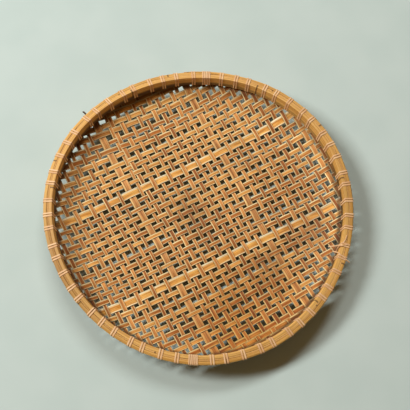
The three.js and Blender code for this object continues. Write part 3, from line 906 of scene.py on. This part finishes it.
turns = np.linspace(0, 2 * np.pi, FILLER_STATIONS, endpoint=False)
filler_section = rounded_section(
    -FILLER_WIDTH / 2, FILLER_WIDTH / 2, FILLER_FOOT, FILLER_TOP, FILLER_ROUND, FILLER_ROUND
)
rings = []
for turn in turns:  # it drifts from side to side a little
    drift = 0.0003 * np.sin(11 * turn) + 0.0002 * np.sin(29 * turn + 1)
    rings.append(rim_point(turn, filler_section[:, 0] + drift, filler_section[:, 1]))
filler = Strips()
filler.add(
    in_place(np.array(rings))[:, ::-1],
    joined=True,
    across=filler_section[None, ::-1, 0] / (FILLER_WIDTH / 2),
    up=1.0,
    along=turns[:, None] * FOOT_RADIUS,
)
filler_bamboo = hoop_finish(
    "filler_bamboo", colour(252, 212, 140), colour(240, 190, 112), colour(206, 148, 76),
    colour(190, 140, 80), 0.41, 0.0,
)
filler.make("rim_filler_line", filler_bamboo, "filler", "rim_filler_strip")

# %% [markdown]
# ## Strands of split cane
#
# The lacing is flat cane about four millimetres wide. A strand is described by the way its
# middle goes: at each step the turn round the tray, out and up on the rim's section, and which
# way its smooth side faces. The strip is swept along that way with its flat side always kept
# on what it is wound round, which a plain tube along a curve wouldn't do.

# %% Strands
CANE_WIDTH, CANE_THICKNESS = 0.0042, 0.0011
STRAND_SECTION = np.array([(-1, -1), (1, -1), (1, 0.2), (0.55, 1), (-0.55, 1), (-1, 0.2)]) / 2
LASHING_SEAT = CANE_THICKNESS / 2 + 0.0001
SIDE, TOP, FOOT = HOOP_OUTSIDE + LASHING_SEAT, CROWN + LASHING_SEAT, HOOP_FOOT - LASHING_SEAT
RUN_OUT = SIDE - 0.0035  # the strand runs on under the outer hoop here
RUN_LEAD = 0.004  # the middle of a lashing's first turn lies this far past the end of that run
BEND_ROUND = 0.0014  # where the strand bends round the foot of a hoop
BEND_EXTRA = 0.0006  # at the crown it bends this much more widely than the hoop is rounded
TURN_SLANT = 0.6  # part of the way to the next turn that is made on the way over the rim
CANE_SHARP = 50  # degrees


def rounded_way(corners, radii):
    """A way with rounded corners, as rows of (out, up, face out, face up)."""
    corners = [np.array(corner, float) for corner in corners]
    rows = []
    for i in range(1, len(corners) - 1):
        before, here, after = corners[i - 1 : i + 2]
        arriving = (here - before) / np.linalg.norm(here - before)
        leaving = (after - here) / np.linalg.norm(after - here)
        start, end = here - arriving * radii[i - 1], here + leaving * radii[i - 1]
        for k in range(ROUND_STEPS + 1):
            t = k / ROUND_STEPS
            point = (1 - t) ** 2 * start + 2 * t * (1 - t) * here + t**2 * end
            heading = arriving * (1 - t) + leaving * t
            heading = heading / np.linalg.norm(heading)
            rows.append((*point, -heading[1], heading[0]))
    return np.array(rows)


# One turn, from under the rim up the inner side, over the crown and down the outer side.
ONE_TURN = rounded_way(
    [(0, FOOT), (-SIDE, FOOT), (-SIDE, TOP), (SIDE, TOP), (SIDE, FOOT), (0, FOOT)],
    [BEND_ROUND, INNER_ROUND + BEND_EXTRA, OUTER_ROUND + BEND_EXTRA, BEND_ROUND],
)


def lashing_rows(degrees, turns, spacing, slant=0.0):
    """Rows of (turn round the tray, out, up, face out, face up) for one lashing."""
    first = -(turns - 1) * spacing / 2
    middle = np.radians(degrees)
    radius = TRAY_DIAMETER / 2
    rows = [(middle + (first - RUN_LEAD) / radius, RUN_OUT, FOOT, 0, -1)]
    steps = len(ONE_TURN)
    for turn in range(turns):
        for i, (out, up, face_out, face_up) in enumerate(ONE_TURN):
            walked = first + spacing * (turn + (i / (steps - 1) - 0.5) * TURN_SLANT)
            walked += slant * (i / (steps - 1) - 0.5)
            rows.append((middle + walked / radius, out, up, face_out, face_up))
    rows.append((middle - first / radius, RUN_OUT, FOOT, 0, -1))
    return rows


def run_rows(start, end):
    """The strand's way under the outer hoop, from one turn round the tray to another."""
    return [
        (start + (end - start) * share, RUN_OUT, FOOT, 0, -1) for share in (0.2, 0.4, 0.6, 0.8)
    ]


def strand_strips(strips, rows, tone, width=CANE_WIDTH, thickness=CANE_THICKNESS):
    """Adds a strand that goes this way."""
    turn, out, up, face_out, face_up = np.array(rows, float).T
    middle = rim_point(turn, out, up)
    outward = np.stack([np.cos(turn) * np.cos(LEAN), np.sin(turn) * np.cos(LEAN),
                        np.full_like(turn, -np.sin(LEAN))], axis=-1)
    upward = np.stack([np.cos(turn) * np.sin(LEAN), np.sin(turn) * np.sin(LEAN),
                       np.full_like(turn, np.cos(LEAN))], axis=-1)
    face = outward * face_out[:, None] + upward * face_up[:, None]
    heading = np.gradient(middle, axis=0)
    heading /= np.linalg.norm(heading, axis=1, keepdims=True)
    face -= heading * np.sum(face * heading, axis=1, keepdims=True)
    face /= np.linalg.norm(face, axis=1, keepdims=True)
    beside = np.cross(heading, face)
    across, layer = STRAND_SECTION[None, :, 0, None], STRAND_SECTION[None, :, 1, None]
    rings = middle[:, None] + across * width * beside[:, None] + layer * thickness * face[:, None]
    walked = np.concatenate([[0], np.cumsum(np.linalg.norm(np.diff(middle, axis=0), axis=1))])
    strips.add(
        in_place(rings)[:, ::-1],
        across=STRAND_SECTION[None, ::-1, 0] * 2,
        along=walked[:, None],
        tone=tone,
    )


print("one turn of cane round the rim takes", len(ONE_TURN), "steps")

# %% [markdown]
# ## The finish of the cane
#
# Fresh cane is almost white. Here it has aged to a pinkish cream. It is darker along its edges
# and has fine lines along it.

# %% Cane finish
def cane_finish(name, pale, face, deep):
    finish = Finish(name)
    across, along, tone = (finish.written(name) for name in ("across", "along", "tone"))
    seed = tone * 51.0
    fibres = finish.noise(finish.vector(along * 24.0, across * 3.5, seed), 1.0, 3.0)
    patches = finish.noise(finish.vector(along * 30.0, across * 0.4, seed + 9.0), 1.0, 2.0)
    body = finish.mix(patches.ramp(0.35, 0.65), pale, face)
    edge = across.math("ABSOLUTE").ramp(0.6, 1.0)
    body = finish.mix(edge * 0.6 + fibres.ramp(0.62, 0.75) * 0.5, body, deep)
    finish.set(Base_Color=body, Roughness=0.5 + 0.2 * fibres)
    finish.bump(fibres, 0.0003)
    return finish


cane = cane_finish(
    "split_cane", colour(246, 206, 158), colour(228, 178, 128), colour(150, 98, 54)
)
print("the finish of the cane has", len(cane.tree.nodes), "nodes")

# %% [markdown]
# ## The rim lacing
#
# Two turns at each place, about every forty millimetres, and a run under the outer hoop to the
# next place. One length of cane lasts for up to five places, so the lacing is twelve lengths.
# The two hoop joints each get a binding of five turns instead.

# %% Lacing and bindings
LASHING_TURNS = 2
SLANT_RANGE = (-0.0012, 0.0016)
FIRST_TAIL, LAST_TAIL, BINDING_TAIL = 0.045, 0.022, 0.020  # radians round the tray
BINDING_CANE = 0.0037  # the bindings' cane is a little narrower


def lashing_angles(start, end):
    """Where the lashings sit between two places round the tray, in degrees."""
    angles = np.arange(start + LASHING_PITCH, end, LASHING_PITCH)
    return [angle + LASHING_WANDER * np.sin(np.radians(angle * 37)) for angle in angles]


lengths = []
for angles in (
    lashing_angles(OUTER_JOINT, INNER_JOINT),
    lashing_angles(INNER_JOINT, OUTER_JOINT + 360),
):
    firsts = range(0, len(angles), LASHINGS_PER_LENGTH)
    lengths += [angles[first : first + LASHINGS_PER_LENGTH] for first in firsts]

for count, angles in enumerate(lengths, start=1):
    node = f"rim_lacing_{count:02d}"
    rows = [(np.radians(angles[0]) - FIRST_TAIL, RUN_OUT, FOOT, 0, -1)]
    for angle in angles:
        slant = dice.uniform(*SLANT_RANGE)
        lashing = lashing_rows(angle, LASHING_TURNS, TURN_SPACING, slant)
        if len(rows) > 1:
            rows += run_rows(rows[-1][0], lashing[0][0])
        rows += lashing
    rows.append((rows[-1][0] + LAST_TAIL, RUN_OUT, FOOT, 0, -1))
    strips = Strips()
    strand_strips(strips, rows, tone=dice.random())
    strips.make(node + "_cane", cane, "cane", node, sharp=CANE_SHARP)

for node, degrees in (
    ("outer_hoop_joint_binding", OUTER_JOINT),
    ("inner_hoop_joint_binding", INNER_JOINT),
):
    rows = lashing_rows(degrees, BINDING_TURNS, BINDING_SPACING)
    rows.insert(0, (rows[0][0] - BINDING_TAIL, RUN_OUT, FOOT, 0, -1))
    rows.append((rows[-1][0] + BINDING_TAIL, RUN_OUT, FOOT, 0, -1))
    strips = Strips()
    strand_strips(strips, rows, tone=dice.random(), width=BINDING_CANE)
    strips.make(node + "_cane", cane, "cane", node, sharp=CANE_SHARP)

# %% [markdown]
# ## The broken lashing
#
# On the right of the photograph one lashing has burst. A strand comes along the seam between
# the hoops, crosses a second one in a loose knot over the edge of the mat and hangs down the
# inner side. Further on, a loose piece lies aslant over the rim and sticks out past it.

# %% Broken lashing
BROKEN_AT = 315  # degrees
LOOSE_WIDTH = 0.0026
FINER, SMOOTHINGS = 6, 3  # each step is cut into so many, and smoothed so many times
MILLIMETRE = 0.001


def loose_strand(strips, steps, tone):
    """A strand through listed steps: millimetres along the rim, out and up, and its face."""
    steps = np.array(steps, float)
    fine = np.linspace(0, len(steps) - 1, FINER * (len(steps) - 1) + 1)
    smooth = np.stack([np.interp(fine, range(len(steps)), column) for column in steps.T], 1)
    for _ in range(SMOOTHINGS):
        smooth[1:-1] = (smooth[:-2] + 2 * smooth[1:-1] + smooth[2:]) / 4
    turn = np.radians(BROKEN_AT) + smooth[:, 0] * MILLIMETRE / (TRAY_DIAMETER / 2)
    rows = np.column_stack([turn, smooth[:, 1:3] * MILLIMETRE, smooth[:, 3:]])
    strand_strips(strips, rows, tone, width=LOOSE_WIDTH)


broken = Strips()
loose_strand(
    broken,
    [(42, -3, 32.8, 0, 1), (30, -4, 32.9, 0, 1), (18, -9, 32.8, -0.3, 1),
     (12, -13.4, 28, -1, 0.2), (8, -14, 20, -1, 0), (2, -14, 12, -1, 0), (-6, -15, 7, -1, 0.3)],
    0.2,
)
loose_strand(
    broken,
    [(20, 5, 32.9, 0, 1), (15, -2, 33.4, 0, 1), (10, -11, 33.8, -0.4, 1), (7, -20, 31, -0.5, 1),
     (5, -29, 24, -0.5, 1), (1, -38, 18, -0.4, 1)],
    0.6,
)
loose_strand(
    broken,
    [(-6, -24, 16, -0.5, 1), (-8, -17, 25, -1, 0.5), (-11, -12.4, 32.4, -0.7, 0.7),
     (-15, -4, 33.4, 0, 1), (-18, 6, 33.4, 0, 1), (-21, 14, 32, 0.3, 1), (-22, 21, 30, 0.3, 1)],
    0.8,
)
broken.make("broken_lashing_strands", cane, "cane", "broken_lashing", sharp=CANE_SHARP)

# %% [markdown]
# ## The broken splint end
#
# Under the rim, at the upper left of the photograph, the weathered end of a broken splint
# sticks out. It is dark, nearly black on its worn side, and hooks back a little at its tip.

# %% Broken splint end
STUB_AT = 111  # degrees
STUB_WIDTH, STUB_THICKNESS = 0.0044, 0.0014
STUB_RADIUS = 0.390  # its steps along the rim are counted about here
STUB_STEPS = [  # millimetres out, up and along the rim
    (2.5, -0.1, 0.0), (10.0, -0.1, 0.0), (18.0, 0.2, -0.6), (26.0, 1.8, -1.8),
    (32.0, 4.4, -2.6), (35.8, 6.8, -2.6), (36.6, 7.8, -0.2),
]

dark_splint = cane_finish(
    "weathered_splint", colour(112, 84, 56), colour(62, 42, 26), colour(26, 16, 10)
)
stub = Strips()
stub_rows = []
for out, up, along in STUB_STEPS:
    turn = np.radians(STUB_AT) + along * MILLIMETRE / STUB_RADIUS
    stub_rows.append((turn, out * MILLIMETRE, up * MILLIMETRE, 0, 1))
strand_strips(stub, stub_rows, 0.3, STUB_WIDTH, STUB_THICKNESS)
stub.make("broken_splint_tip", dark_splint, "dark_splint", "broken_splint_end")
